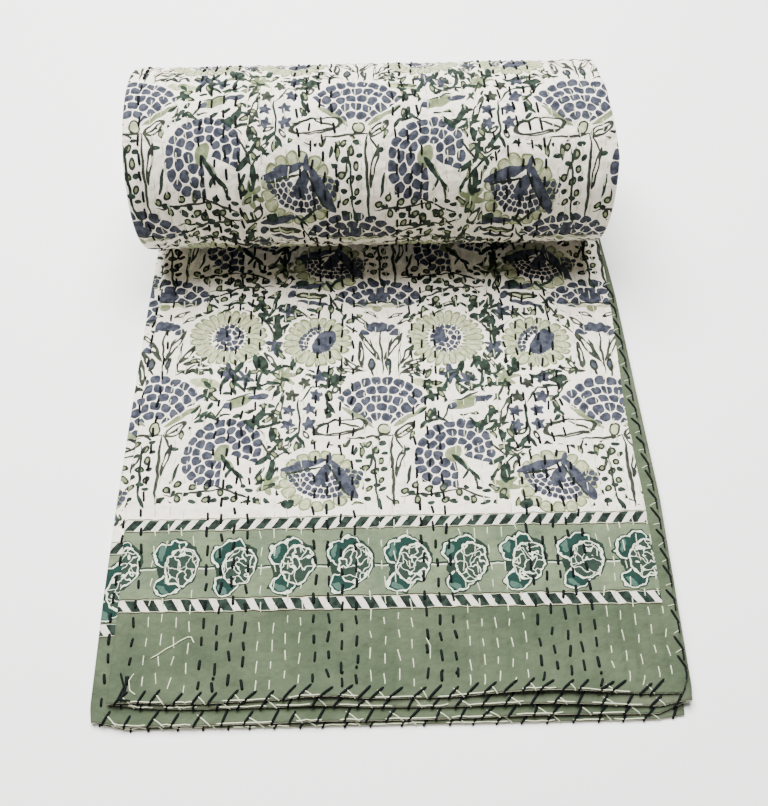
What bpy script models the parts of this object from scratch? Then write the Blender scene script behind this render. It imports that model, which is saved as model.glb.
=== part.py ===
"""A hand-stitched kantha quilt, folded lengthwise into a strip four layers thick and rolled up from its far end.

Metres, +Z up. The origin is under the middle of the bundle, on the surface that it lies on. The end with the
loose hems points to -Y and the roll lies across the strip at +Y.
"""

import math

import bmesh
import bpy
import numpy as np
from mathutils import Vector

# The quilt before it is folded: two cotton cloths with thin wadding between, puckered by the hand stitching.
QUILT_LENGTH = 2.743
LAYERS = 4
CLOTH = 0.0032
AIR = 0.00125
PITCH = CLOTH + AIR
STACK = LAYERS * PITCH

# The rows of running stitch: they run the length of the quilt and sink a little into the cloth.
STITCH_ROWS = 40
STITCH_SINK = 0.0008

# The strip runs flat from the top layer's hem to under the roll's axis, then winds backwards, up and over.
AXIS_BACK = 0.633
AXIS_UP = 0.1194
TURN = 2 * math.pi
OUTER_STEPS = 24
INNER_STEPS = 12
FLAT_STATIONS = (0, 0.015, 0.07, 0.22, 0.35, 0.5, AXIS_BACK)
HEM_REACH = 0.07

# A fold's middle thickness: how far it stands out past the layers that it joins, and the shares of the way down
# from the upper layer to the lower one between which it is at its widest.
FOLD_REACH = 0.0034
FOLD_WIDEST = (0.18, 0.82)

# Where the side edges of the strip lie, at places along it. The hems are the quilt's own side edges.
EDGE_COLUMNS = ("along", "top_hem", "top_fold", "right_fold", "low_fold", "low_hem")
EDGES = (
    (0.000, 0.284, -0.285, 0.294, -0.300, 0.286),
    (0.015, 0.291, -0.285, 0.296, -0.303, 0.287),
    (0.120, 0.292, -0.286, 0.297, -0.305, 0.288),
    (0.220, 0.291, -0.292, 0.298, -0.305, 0.288),
    (0.350, 0.285, -0.289, 0.293, -0.303, 0.284),
    (0.500, 0.282, -0.284, 0.288, -0.300, 0.280),
    (0.633, 0.274, -0.286, 0.278, -0.296, 0.272),
    (0.830, 0.246, -0.287, 0.249, -0.295, 0.250),
    (0.950, 0.245, -0.287, 0.248, -0.294, 0.250),
    (1.050, 0.262, -0.288, 0.264, -0.295, 0.267),
    (1.130, 0.262, -0.289, 0.263, -0.296, 0.265),
    (1.250, 0.256, -0.289, 0.258, -0.295, 0.259),
    (1.500, 0.260, -0.285, 0.264, -0.290, 0.260),
    (2.000, 0.254, -0.288, 0.257, -0.293, 0.255),
    (2.743, 0.262, -0.282, 0.266, -0.287, 0.262),
)

# The loose hems at the front: how far each layer slips forward of the top hem's line, bottom layer first, at four
# shares of its width. A layer's corners are rounded, so it slips less at its folds than just inside them.
SLIP_COLUMNS = {"left": 0.0, "inside_left": 0.05, "inside_right": 0.95, "right": 1.0}
SLIPS = (
    (0.016, 0.023, 0.022, 0.018),
    (0.016, 0.021, 0.017, 0.006),
    (0.000, 0.004, 0.011, 0.006),
    (0.000, 0.000, 0.000, 0.000),
)
SLIP_FADES = 0.25

# The hems' waves: where each one is, its half width, how far it lifts the top hem and draws it back.
WAVE_COLUMNS = ("centre", "half_width", "lift", "back")
WAVES = (
    (-0.072, 0.055, 0.0060, 0.0020),
    (0.150, 0.105, 0.0085, 0.0035),
    (-0.200, 0.070, 0.0020, -0.0025),
)
LAYER_SHARES_WAVE = (0.0, 0.25, 0.55, 1.0)

# Of the points across each layer's hem, a half row of stitching apart, every so many are kept.
HEM_KEEPS = (8, 8, 4, 4)

COTTON = (0.43, 0.47, 0.37, 1.0)


def stations():
    """Pairs along the strip: the distance from the top hem at mid thickness, and the angle turned in the roll."""
    wound = AXIS_UP - STACK / 2
    left_to_wind = QUILT_LENGTH - AXIS_BACK
    last = (wound - math.sqrt(wound**2 - STACK * left_to_wind / math.pi)) * TURN / STACK
    outer = [TURN * step / OUTER_STEPS for step in range(1, OUTER_STEPS + 1)]
    inner = list(np.arange(TURN + TURN / INNER_STEPS, last, TURN / INNER_STEPS))
    rolled = [(AXIS_BACK + wound * a - STACK * a**2 / (2 * TURN), a) for a in outer + inner + [last]]
    return [(along, 0.0) for along in FLAT_STATIONS] + rolled


def columns():
    """Places across the cloth, from the top layer's loose edge down to the bottom layer's.

    Each is (layer, share of the width from left to right, side of the fold that it is in, or 0).
    """
    places = []
    for layer in reversed(range(LAYERS)):
        to_left = layer % 2 == 1
        shares = np.linspace(0, 1, 2 * STITCH_ROWS + 1)
        places += [(layer, share, 0) for share in (shares[::-1] if to_left else shares)]
        if layer:
            end = (0.0, -1) if to_left else (1.0, 1)
            places += [(layer - down, *end) for down in FOLD_WIDEST]
    return places


def edge_at(name, along):
    rows = np.array(EDGES)
    return float(np.interp(along, rows[:, 0], rows[:, EDGE_COLUMNS.index(name)]))


def across(column, along):
    """The x of a column, at a distance along the strip."""
    layer, share, side = column
    inset = CLOTH / 2 + FOLD_REACH
    upper = math.ceil(layer)
    left = edge_at("top_fold" if upper >= 2 else "low_fold", along) + inset
    right = {
        3: edge_at("top_hem", along),
        2: edge_at("right_fold", along) - inset,
        1: edge_at("right_fold", along) - inset,
        0: edge_at("low_hem", along),
    }[upper]
    return left + share * (right - left) + side * FOLD_REACH


def waves(x):
    """How far the hem's waves lift the top layer and draw it back, at x."""
    lift = back = 0.0
    for row in WAVES:
        wave = dict(zip(WAVE_COLUMNS, row))
        swell = max(0.0, 1 - ((x - wave["centre"]) / wave["half_width"]) ** 2) ** 2
        lift += wave["lift"] * swell
        back += wave["back"] * swell
    return lift, back


def place(column, station):
    """Where a point of the cloth's middle thickness lies."""
    layer, share, _ = column
    along, angle = station
    x = across(column, along)
    height = layer * PITCH + CLOTH / 2
    if angle:
        radius = AXIS_UP - STACK * angle / TURN - height
        return (x, AXIS_BACK + radius * math.sin(angle), AXIS_UP - radius * math.cos(angle))
    slips = [np.interp(share, list(SLIP_COLUMNS.values()), row) for row in SLIPS]
    slip = np.interp(layer, range(LAYERS), slips) * max(0.0, 1 - along / SLIP_FADES)
    near_hem = max(0.0, 1 - along / HEM_REACH) ** 2 * np.interp(layer, range(LAYERS), LAYER_SHARES_WAVE)
    lift, back = waves(x)
    return (x, along - slip + back * near_hem, height + lift * near_hem)


def folded_sheet(across_places, along_places):
    """A flat grid whose points are moved to where the folds and the roll take them."""
    last_column, last_row = len(across_places) - 1, len(along_places) - 1
    bm = bmesh.new()
    bmesh.ops.create_grid(bm, x_segments=last_column, y_segments=last_row, size=1)
    column_of = bm.verts.layers.int.new("column")
    row_of = bm.verts.layers.int.new("row")
    for vert in bm.verts:
        vert[column_of] = round((vert.co.x + 1) / 2 * last_column)
        vert[row_of] = round((vert.co.y + 1) / 2 * last_row)
        vert.co = place(across_places[vert[column_of]], along_places[vert[row_of]])
    mesh = bpy.data.meshes.new("quilt")
    bm.to_mesh(mesh)
    bm.free()
    return mesh


def thickened(mesh):
    """The sheet given its thickness, half to each side. Its second half of points is the quilt's other side."""
    sheet = bpy.data.objects.new("sheet", mesh)
    bpy.context.scene.collection.objects.link(sheet)
    solidify = sheet.modifiers.new("thickness", "SOLIDIFY")
    solidify.thickness = CLOTH
    solidify.offset = 0
    solidify.use_even_offset = True
    graph = bpy.context.evaluated_depsgraph_get()
    thick = bpy.data.meshes.new_from_object(sheet.evaluated_get(graph))
    bpy.data.objects.remove(sheet)
    return thick


def shown_outside(layer, station):
    """True where the printed side of a layer is the outside of the bundle, off the surface that it lies on."""
    on_flat = layer == LAYERS - 1 and station[1] == 0 and HEM_REACH / 3 < station[0] < AXIS_BACK
    on_roll = layer == 0 and 0 < station[1] < TURN
    return on_flat or on_roll


def stitch_and_thin(mesh, across_places, along_places):
    """Sinks the rows of stitching where they show, then removes the edges that shape nothing."""
    bm = bmesh.new()
    bm.from_mesh(mesh)
    column_of = bm.verts.layers.int["column"]
    row_of = bm.verts.layers.int["row"]
    half = len(bm.verts) // 2
    axis = Vector((AXIS_BACK, AXIS_UP))
    per_layer = 2 * STITCH_ROWS

    def printed(vert):
        return vert.index < half

    def in_layer(vert):
        """The layer, and how many half rows the point is from its right or left end; None inside a fold."""
        layer, share, side = across_places[vert[column_of]]
        return (None, 0) if side else (layer, round(share * per_layer))

    for vert in bm.verts:
        layer, step = in_layer(vert)
        station = along_places[vert[row_of]]
        if layer is None or step % 2 or step in (0, per_layer):
            continue
        if printed(vert) and shown_outside(layer, station):
            inward = (axis - vert.co.yz).normalized() if station[1] else Vector((0, -1))
            vert.co.yz += STITCH_SINK * inward

    def needed(edge):
        a, b = edge.verts
        layer, step = in_layer(a)
        if a[column_of] != b[column_of] or layer is None or step in (0, per_layer):
            return True
        near, far = sorted(along_places[vert[row_of]] for vert in edge.verts)
        shown = shown_outside(layer, near) or shown_outside(layer, far)
        return printed(a) and shown or far[0] <= HEM_REACH and step % HEM_KEEPS[layer] == 0

    spare = [edge for edge in bm.edges if not needed(edge)]
    bmesh.ops.dissolve_edges(bm, edges=spare, use_verts=True)
    bmesh.ops.recalc_face_normals(bm, faces=bm.faces)
    bm.to_mesh(mesh)
    bm.free()


def centred(mesh):
    """Moves the mesh so that the middle of its box, on the surface below, is the origin."""
    points = np.array([vert.co for vert in mesh.vertices])
    low, high = points.min(axis=0), points.max(axis=0)
    middle = (low + high) / 2
    for vert in mesh.vertices:
        vert.co.x -= middle[0]
        vert.co.y -= middle[1]
        vert.co.z -= low[2]


def cotton_material():
    material = bpy.data.materials.new("cotton")
    material.use_nodes = True
    shader = material.node_tree.nodes["Principled BSDF"]
    shader.inputs["Base Color"].default_value = COTTON
    shader.inputs["Roughness"].default_value = 0.9
    shader.inputs["Metallic"].default_value = 0.0
    return material


for old in list(bpy.data.objects):
    bpy.data.objects.remove(old)

bundle = bpy.data.collections.new("kantha_quilt")
bpy.context.scene.collection.children.link(bundle)

across_cloth = columns()
along_cloth = stations()
quilt_mesh = thickened(folded_sheet(across_cloth, along_cloth))
stitch_and_thin(quilt_mesh, across_cloth, along_cloth)
centred(quilt_mesh)
quilt_mesh.materials.append(cotton_material())
quilt = bpy.data.objects.new("quilt", quilt_mesh)
bundle.objects.link(quilt)
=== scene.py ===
import math

import bpy
import numpy as np
from mathutils import Matrix, Vector


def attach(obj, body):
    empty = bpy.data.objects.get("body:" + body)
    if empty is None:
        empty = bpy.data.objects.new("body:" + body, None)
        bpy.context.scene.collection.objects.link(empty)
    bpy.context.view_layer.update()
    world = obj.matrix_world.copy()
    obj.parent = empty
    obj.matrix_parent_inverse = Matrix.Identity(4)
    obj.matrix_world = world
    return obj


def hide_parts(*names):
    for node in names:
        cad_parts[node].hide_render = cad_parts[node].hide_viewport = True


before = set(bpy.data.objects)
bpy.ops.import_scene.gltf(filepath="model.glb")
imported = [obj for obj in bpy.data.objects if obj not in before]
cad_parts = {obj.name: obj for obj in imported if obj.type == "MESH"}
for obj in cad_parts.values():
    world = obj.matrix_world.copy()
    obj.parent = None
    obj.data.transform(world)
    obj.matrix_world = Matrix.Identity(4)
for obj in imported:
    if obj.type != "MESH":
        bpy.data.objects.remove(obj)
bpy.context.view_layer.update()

# ----------------------------------------------------------------------------------------------------
# The quilt: two cotton cloths with thin wadding between, 2.286 x 2.743 m, block-printed on the side that
# shows and plain sage on the back. It is folded back and forth lengthwise in four layers, laid flat, and
# wound up from its far end. Its hems are turned in, and the running stitch pulls it down into soft puckers.

QUILT_WIDTH = 2.286
QUILT_LENGTH = 2.743
LAYERS = 4
OUTER_LAYERS = (0, 3)
LAYER_WIDTH = QUILT_WIDTH / LAYERS
CLOTH = 0.0032
LAYER_GAP = 0.00125
PITCH = CLOTH + LAYER_GAP
STACK = LAYERS * PITCH
ORIGIN = np.array((-0.0035, 0.3625, 0.0))  # in the strip's own measures, from the top hem

# The roll: its axis, and the steps that its turns and the flat before it are drawn in.
AXIS_BACK = 0.633
AXIS_UP = 0.1194
TURN = 2 * math.pi
OUTER_STEPS = 144
INNER_STEPS = 32
FLAT_STEPS = 124
HEM_ENDS = 0.008

# Where the side edges of the strip lie, at places along it. The hems are the quilt's own side edges.
EDGE_NAMES = ("top_hem", "top_fold", "right_fold", "low_fold", "low_hem")  # after the distance along it
EDGES = np.array((
    (0.000, 0.284, -0.285, 0.294, -0.300, 0.286),
    (0.015, 0.291, -0.285, 0.296, -0.303, 0.287),
    (0.120, 0.292, -0.286, 0.297, -0.305, 0.288),
    (0.220, 0.291, -0.292, 0.298, -0.305, 0.288),
    (0.350, 0.285, -0.289, 0.293, -0.303, 0.284),
    (0.500, 0.282, -0.284, 0.288, -0.300, 0.280),
    (0.633, 0.274, -0.286, 0.278, -0.296, 0.272),
    (0.830, 0.246, -0.287, 0.249, -0.295, 0.250),
    (0.950, 0.245, -0.287, 0.248, -0.294, 0.250),
    (1.050, 0.262, -0.288, 0.264, -0.295, 0.267),
    (1.130, 0.262, -0.289, 0.263, -0.296, 0.265),
    (1.250, 0.256, -0.289, 0.258, -0.295, 0.259),
    (1.500, 0.260, -0.285, 0.264, -0.290, 0.260),
    (2.000, 0.254, -0.288, 0.257, -0.293, 0.255),
    (2.743, 0.262, -0.282, 0.266, -0.287, 0.262),
)).T
FOLD_REACH = 0.0034
FOLD_ROUND = 0.7
FOLD_STEPS = 6

# How far each layer's loose hem slips forward of the top one, bottom layer first, at four places across it.
SLIP_SHARES = (0.0, 0.05, 0.95, 1.0)
SLIPS = (
    (0.016, 0.023, 0.022, 0.018),
    (0.016, 0.021, 0.017, 0.006),
    (0.000, 0.004, 0.011, 0.006),
    (0.000, 0.000, 0.000, 0.000),
)
SLIP_FADES = 0.25

# The loose hems' waves: each one's middle and half width, how far it lifts the top hem and draws it back.
WAVES = (
    (-0.072, 0.055, 0.0060, 0.0020),
    (0.150, 0.105, 0.0085, 0.0035),
    (-0.200, 0.070, 0.0020, -0.0025),
)
HEM_REACH = 0.07
WAVE_SHARES = (0.0, 0.25, 0.55, 1.0)

# The running stitch: rows 14.3 mm apart, worked along the quilt, in groups of dark and pale thread.
STITCH_ROWS = 40
STITCH_PITCH = 0.0205
STITCH_LENGTH = 0.0112
FURROW_WIDTH = 0.0032
PUCKER_DEPTH = 0.00125
ROW_GROUPS = "dppppddddppppddddppppdddpppppdddddppppp"  # one letter a row, from the left: d dark, p pale
rng = np.random.default_rng(7)


def bumpy(x, y, size, seed, waves=7):
    """A soft random swell between about -1 and 1, of the given size in metres."""
    turns = np.random.default_rng(seed)
    total = np.zeros(x.shape)
    for _ in range(waves):
        heading, phase = turns.uniform(0, TURN, 2)
        pace = TURN / (size * turns.uniform(0.7, 1.4))
        total += np.sin((x * math.cos(heading) + y * math.sin(heading)) * pace + phase)
    return total / math.sqrt(waves)


# The columns of the sheet, from the top layer's loose edge down to the bottom layer's: the layer, the share
# of the width from left to right, and how far it stands out in a fold. A hem's first millimetres have more.
HEM_INSETS = np.array((0.0, 0.0004, 0.0011, 0.0022, 0.0040))
SLIVER = 0.11  # how much of the second layer's width shows beside the top fold, and needs finer steps
sheet_columns = []
for layer in (3, 2, 1, 0):
    fine = 4 * STITCH_ROWS if layer in OUTER_LAYERS else 2 * STITCH_ROWS
    shares = np.arange(0, fine + 1) / fine
    if layer in OUTER_LAYERS:
        shares = np.concatenate([shares[:-1], 1 - HEM_INSETS / LAYER_WIDTH])
    if layer == 1:
        shares = np.concatenate([np.arange(1, 16, 2) / 160, shares])
    shares = np.sort(shares)
    sheet_columns += [(layer, share, 0.0) for share in (shares[::-1] if layer % 2 else shares)]
    for step in range(1, FOLD_STEPS) if layer else ():
        turned = math.pi * step / FOLD_STEPS
        side = math.sin(turned) ** FOLD_ROUND * (-1 if layer % 2 else 1)
        sheet_columns.append((layer - (1 - math.cos(turned)) / 2, 0.0 if layer % 2 else 1.0, side))
col_layer, col_share, col_side = np.array(sheet_columns).T

# The stations along the sheet: the distance from the top hem, and the angle turned in the roll.
wound = AXIS_UP - STACK / 2
last_angle = (wound - math.sqrt(wound**2 - STACK * (QUILT_LENGTH - AXIS_BACK) / math.pi)) * TURN / STACK
angles = np.concatenate([
    TURN * np.arange(1, OUTER_STEPS + 1) / OUTER_STEPS,
    np.arange(TURN * (1 + 1 / INNER_STEPS), last_angle, TURN / INNER_STEPS),
    [last_angle],
])
flat_along = np.concatenate([HEM_INSETS, np.linspace(HEM_ENDS, AXIS_BACK, FLAT_STEPS)])
row_along = np.concatenate([flat_along, AXIS_BACK + wound * angles - STACK * angles**2 / (2 * TURN)])
row_angle = np.concatenate([np.zeros(len(flat_along)), angles])

# The cloth's middle thickness, as an array of points by column and station.
inset = CLOTH / 2 + FOLD_REACH
upper = np.ceil(col_layer)
edge = {name: np.interp(row_along, EDGES[0], side)[None, :] for name, side in zip(EDGE_NAMES, EDGES[1:])}
left = np.where(upper[:, None] >= 2, edge["top_fold"], edge["low_fold"]) + inset
right = np.select(
    [upper[:, None] == 3, upper[:, None] == 0], [edge["top_hem"], edge["low_hem"]], edge["right_fold"] - inset
)
strip_x = left + col_share[:, None] * (right - left) + col_side[:, None] * FOLD_REACH
height = (col_layer * PITCH + CLOTH / 2)[:, None]
slip_rows = np.array([np.interp(col_share, SLIP_SHARES, row) for row in SLIPS])
column_slip = np.array([np.interp(layer, range(LAYERS), row) for layer, row in zip(col_layer, slip_rows.T)])
lift, back = np.zeros_like(strip_x), np.zeros_like(strip_x)
for centre, half_width, lifts_by, draws_by in WAVES:
    swell = np.clip(1 - ((strip_x - centre) / half_width) ** 2, 0, None) ** 2
    lift += lifts_by * swell
    back += draws_by * swell
near_hem = np.clip(1 - row_along / HEM_REACH, 0, None)[None, :] ** 2
near_hem = near_hem * np.interp(col_layer, range(LAYERS), WAVE_SHARES)[:, None]
slip = column_slip[:, None] * np.clip(1 - row_along / SLIP_FADES, 0, None)[None, :]
radius = AXIS_UP - STACK * row_angle[None, :] / TURN - height
on_roll = row_angle[None, :] > 0
middle = np.stack([
    strip_x,
    np.where(on_roll, AXIS_BACK + radius * np.sin(row_angle), row_along - slip + back * near_hem),
    np.where(on_roll, AXIS_UP - radius * np.cos(row_angle), height + lift * near_hem),
], axis=2)


def unit(vectors):
    return vectors / np.maximum(np.linalg.norm(vectors, axis=-1, keepdims=True), 1e-12)


def tangents(points, axis):
    """Each point's direction of travel along an axis, halfway between the steps before and after it."""
    steps = unit(np.diff(points, axis=axis))
    first, last = np.take(steps, [0], axis), np.take(steps, [-1], axis)
    return unit(np.concatenate([first, steps], axis) + np.concatenate([steps, last], axis))


outward = unit(np.cross(tangents(middle, 1), tangents(middle, 0)))

# A hem is rounded off over its last millimetre and a half.
side_hem = np.where(np.isin(upper, OUTER_LAYERS), 1 - col_share, 1.0)[:, None] * LAYER_WIDTH
end_hem = np.minimum(row_along, QUILT_LENGTH - row_along)[None, :]
from_hem = np.minimum(side_hem, end_hem)
rounding = np.sqrt(np.clip(1 - np.clip(1 - from_hem / (CLOTH / 2), 0, None) ** 2, 0, 1))
half_thick = CLOTH / 2 * rounding

# The stitches: the layers and stretches of the strip where they show, and each one's row, place and length.
SHOWN = (
    ("flat_top", 3, HEM_ENDS, AXIS_BACK - 0.005),
    ("roll", 0, AXIS_BACK + 0.004, AXIS_BACK + wound * TURN - STACK * math.pi - 0.004),
    ("low_strip", 1, HEM_ENDS, AXIS_BACK - 0.03),
)
stitches = {}
for name, layer, start, end in SHOWN:
    found = []
    for row in (0.5,) if name == "low_strip" else range(1, STITCH_ROWS):
        places = np.arange(start + rng.uniform(0.004, 0.02), end - 0.004, STITCH_PITCH)
        places = places + rng.normal(0, 0.0016, len(places))
        lengths = STITCH_LENGTH * rng.uniform(0.72, 1.22, len(places))
        places = places[places + lengths / 2 < end]
        found += [(row, place, length) for place, length in zip(places, lengths)]
    stitches[name] = np.array(found)

# What the stitching does to the shown faces: a furrow along each row, deepest under a stitch, and puckers.
pucker = np.zeros_like(strip_x)
for name, layer, start, end in SHOWN:
    here = (col_layer == layer) & (col_side == 0)
    rows_of = col_share[here] * STITCH_ROWS
    nearest = np.clip(np.round(rows_of), 1, STITCH_ROWS - 1).astype(int)
    apart = np.abs(rows_of - nearest)[:, None] * LAYER_WIDTH / STITCH_ROWS
    pulled = np.zeros((len(rows_of), len(row_along)))
    for row in range(1, STITCH_ROWS):
        mine = stitches[name][stitches[name][:, 0] == row]
        if not len(mine):
            continue
        ends = mine[:, 1:2] + mine[:, 2:3] * (-0.5, -0.5, 0.5, 0.5) + (-0.003, 0.0, 0.0, 0.003)
        pulled[nearest == row] = np.interp(row_along, ends.ravel(), (0.25, 1.0, 1.0, 0.25) * len(mine))
    swell = 0.55 * bumpy(strip_x[here], row_along, 0.11, 3) + 0.25 * bumpy(strip_x[here], row_along, 0.035, 4)
    furrow = (0.35 + 0.85 * pulled) * np.exp(-((apart / FURROW_WIDTH) ** 2))
    rise = 0.2 - 0.45 * np.cos(apart / (LAYER_WIDTH / STITCH_ROWS) * TURN / 2)
    inside = np.clip((row_along - start) / 0.02, 0, 1) * np.clip((end - row_along) / 0.03, 0, 1)
    inside = inside[None, :] * np.clip(np.minimum(col_share[here], 1 - col_share[here]) * 40, 0, 1)[:, None]
    pucker[here] += np.clip(0.4 * swell + rise - furrow, -1.5, 0.9) * PUCKER_DEPTH * inside

printed = middle + outward * (half_thick + pucker)[:, :, None]
reverse = middle - outward * half_thick[:, :, None]

# The cloth's own measures, across and along the quilt, and the print's. On the roll the print is turned end
# for end, so that its flowers stand upright there too; the turn lies under the roll. It is drawn out down the
# roll's front, because the real roll sags there and shows a flatter face.
PRINT_ON_ROLL = 1.045
ROLL_COLUMN = (-0.031, -0.009)  # a place across the strip, and the place across the print that falls on it
ROLL_ROW = (math.radians(192.5), 0.339)  # an angle of the roll, and the print's distance that falls on it
ROLL_FRONT = math.radians(217)
ROLL_SAG = 0.036
PRINT_SLIPS = (0.022, 0.022, 0.006, 0.0)
share_left = np.where(upper % 2 == 1, 1 - col_share, col_share)
cloth_u = np.broadcast_to(((LAYERS - 1 - upper + share_left) * LAYER_WIDTH)[:, None], strip_x.shape)
cloth_v = np.broadcast_to(row_along[None, :], strip_x.shape)
print_x = np.where(on_roll, ROLL_COLUMN[1] + (strip_x - ROLL_COLUMN[0]) * PRINT_ON_ROLL, strip_x)
layer_slip = np.interp(col_layer, range(LAYERS), PRINT_SLIPS)[:, None]
drawn_out = ROLL_SAG * np.clip(row_angle - ROLL_FRONT, 0, TURN - ROLL_FRONT)
print_y = np.where(
    on_roll,
    ROLL_ROW[1] + (ROLL_ROW[0] - row_angle) * AXIS_UP * PRINT_ON_ROLL + drawn_out,
    middle[:, :, 1] + layer_slip,
)

# The mesh: every column and station where the cloth shows, and only the shaping ones where it is hidden.
per_layer = np.where(np.isin(col_layer, OUTER_LAYERS), 4 * STITCH_ROWS, 2 * STITCH_ROWS)
steps_in = np.round(col_share * per_layer, 4)
is_fold = col_side != 0
at_loose_edge = 1 - col_share < (HEM_INSETS[-1] + 0.0005) / LAYER_WIDTH
is_hem_column = np.isin(col_layer, OUTER_LAYERS) & at_loose_edge & ~is_fold
coarse = is_fold | is_hem_column | (steps_in % (per_layer / 5) == 0)
nearer = coarse | (steps_in % (per_layer / 80) == 0)
last_column, last_row = len(col_layer) - 1, len(row_along) - 1


def kept(side, band):
    """Which columns shape the band of cloth between one station and the next."""
    columns = nearer if row_along[band] < HEM_REACH else coarse
    if side == "printed":
        if row_along[band + 1] <= AXIS_BACK + 1e-9:
            columns = columns | (col_layer == 3) | ((col_layer == 1) & (col_share < SLIVER))
        elif row_angle[band + 1] <= TURN + 1e-9:
            columns = columns | (col_layer == 0)
    return columns


bands = {side: [kept(side, band) for band in range(last_row)] for side in ("printed", "reverse")}
corners, faces, number = [], [], {}
for side in ("printed", "reverse"):
    number[side] = np.full(strip_x.shape, -1)
    for row in range(last_row + 1):
        there = bands[side][max(row - 1, 0)] | bands[side][min(row, last_row - 1)]
        if row in (0, last_row):
            there = bands["printed"][min(row, last_row - 1)] | bands["reverse"][min(row, last_row - 1)]
        for column in np.flatnonzero(there):
            if side == "reverse" and (row in (0, last_row) or column in (0, last_column)):
                number[side][column, row] = number["printed"][column, row]
                continue
            number[side][column, row] = len(corners)
            corners.append((column, row, side == "printed"))
    for band in range(last_row):
        stops = np.flatnonzero(bands[side][band])
        for a, b in zip(stops[:-1], stops[1:]):
            near, far = (number[side][a : b + 1, row] for row in (band, band + 1))
            ring = [int(n) for n in (*near, *far[::-1]) if n >= 0]
            faces.append(ring[::-1] if side == "printed" else ring)
at_column, at_row, from_printed = np.array(corners).T
from_printed = from_printed.astype(bool)
place = np.where(from_printed[:, None], printed[at_column, at_row], reverse[at_column, at_row]) - ORIGIN
quilt_mesh = bpy.data.meshes.new("quilt_cloth")
quilt_mesh.from_pydata(place.tolist(), [], faces)
lower_face = from_printed == (upper[at_column] % 2 == 0)
from_end = end_hem[0, at_row]
pale = (from_end < 0.0001) | (lower_face & (from_end < 0.0015))
for name, values in (("printed_side", from_printed), ("pale_edge", pale)):
    quilt_mesh.attributes.new(name, "FLOAT", "POINT").data.foreach_set("value", values.astype(np.float32))
corner_of = np.empty(len(quilt_mesh.loops), int)
quilt_mesh.loops.foreach_get("vertex_index", corner_of)
for name, across_map, along_map in (("cloth", cloth_u, cloth_v), ("print", print_x, print_y)):
    values = np.stack([across_map[at_column, at_row], along_map[at_column, at_row]], axis=1)
    quilt_mesh.uv_layers.new(name=name).data.foreach_set("uv", values[corner_of].ravel())
quilt_mesh.polygons.foreach_set("use_smooth", [True] * len(quilt_mesh.polygons))
quilt_mesh.update()


def put(name, data):
    """A new object in the scene."""
    made = bpy.data.objects.new(name, data)
    bpy.context.scene.collection.objects.link(made)
    return made


quilt = put("quilt_cloth", quilt_mesh)


def linear(code):
    """An sRGB hex colour as the linear values that a shader takes."""
    parts = [int(code[i : i + 2], 16) / 255 for i in (1, 3, 5)]
    return tuple(c / 12.92 if c <= 0.04045 else ((c + 0.055) / 1.055) ** 2.4 for c in parts) + (1.0,)


# The setting that says what a node of each kind does.
MAIN_SETTING = {
    "Attribute": "attribute_name", "MapRange": "interpolation_type", "Mapping": "vector_type",
    "Math": "operation", "Mix": "data_type", "TexNoise": "noise_dimensions",
    "TexVoronoi": "voronoi_dimensions", "UVMap": "uv_map", "VectorMath": "operation",
    "VectorRotate": "rotation_type",
}


def add(kind, *taken, **named):
    """One node of the material in hand. A word first, and small names, are its settings.

    Its inputs take the values, colours, sockets and nodes, in order or by name.
    """
    node = tree.nodes.new("ShaderNode" + kind)
    if taken and isinstance(taken[0], str):
        setattr(node, MAIN_SETTING[kind], taken[0])
        taken = taken[1:]
    for name, value in named.items():
        if name[0].islower():
            setattr(node, name, value)
    inputs = list(zip([socket for socket in node.inputs if socket.enabled], taken))
    inputs += [(node.inputs[name.replace("_", " ")], named[name]) for name in named if name[0].isupper()]
    for socket, value in inputs:
        if isinstance(value, str):
            value = linear(value)
        if isinstance(value, bpy.types.Node):
            value = next(made for made in value.outputs if made.enabled)
        if isinstance(value, bpy.types.NodeSocket):
            tree.links.new(value, socket)
        else:
            socket.default_value = value
    return node


def finish(name, **looks):
    """A new material, its nodes, and its shader, whose sockets take the looks given."""
    material = bpy.data.materials.new(name)
    material.use_nodes = True
    shader = material.node_tree.nodes["Principled BSDF"]
    for socket, value in looks.items():
        shader.inputs[socket.replace("_", " ")].default_value = value
    return material, material.node_tree, shader


# The printed cotton: plain-woven, so matt and a little slubby, and printed by hand with carved wooden
# blocks, one for each ink, so no line is quite true. The field repeats every 264 x 308 mm. Its chart is in
# millimetres from the strip's middle and the top hem.
REPEAT = (264.0, 308.0)
PRINT_TURN = math.radians(1.4)
FAN_AT = (-9.0, 360.0, 0.0)
BORDER_ENDS = 199.2
FIELD_STARTS = 212.0
FIRST_WHOLE_MOTIF = 300.0
FAR_AWAY = 999.0
NEAR_END = 0.3  # in metres of cloth
LINE_WANDERS = 7.0
FINEST_LINE = 1.5
LEAF_RIM = 1.1

cotton, tree, shader = finish(
    "block_printed_cotton", Roughness=0.9, Specular_IOR_Level=0.12, Sheen_Weight=0.03
)
cloth_map = add("UVMap", "cloth")
in_mm = add("VectorMath", "SCALE", add("UVMap", "print"), Scale=1000.0)
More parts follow.
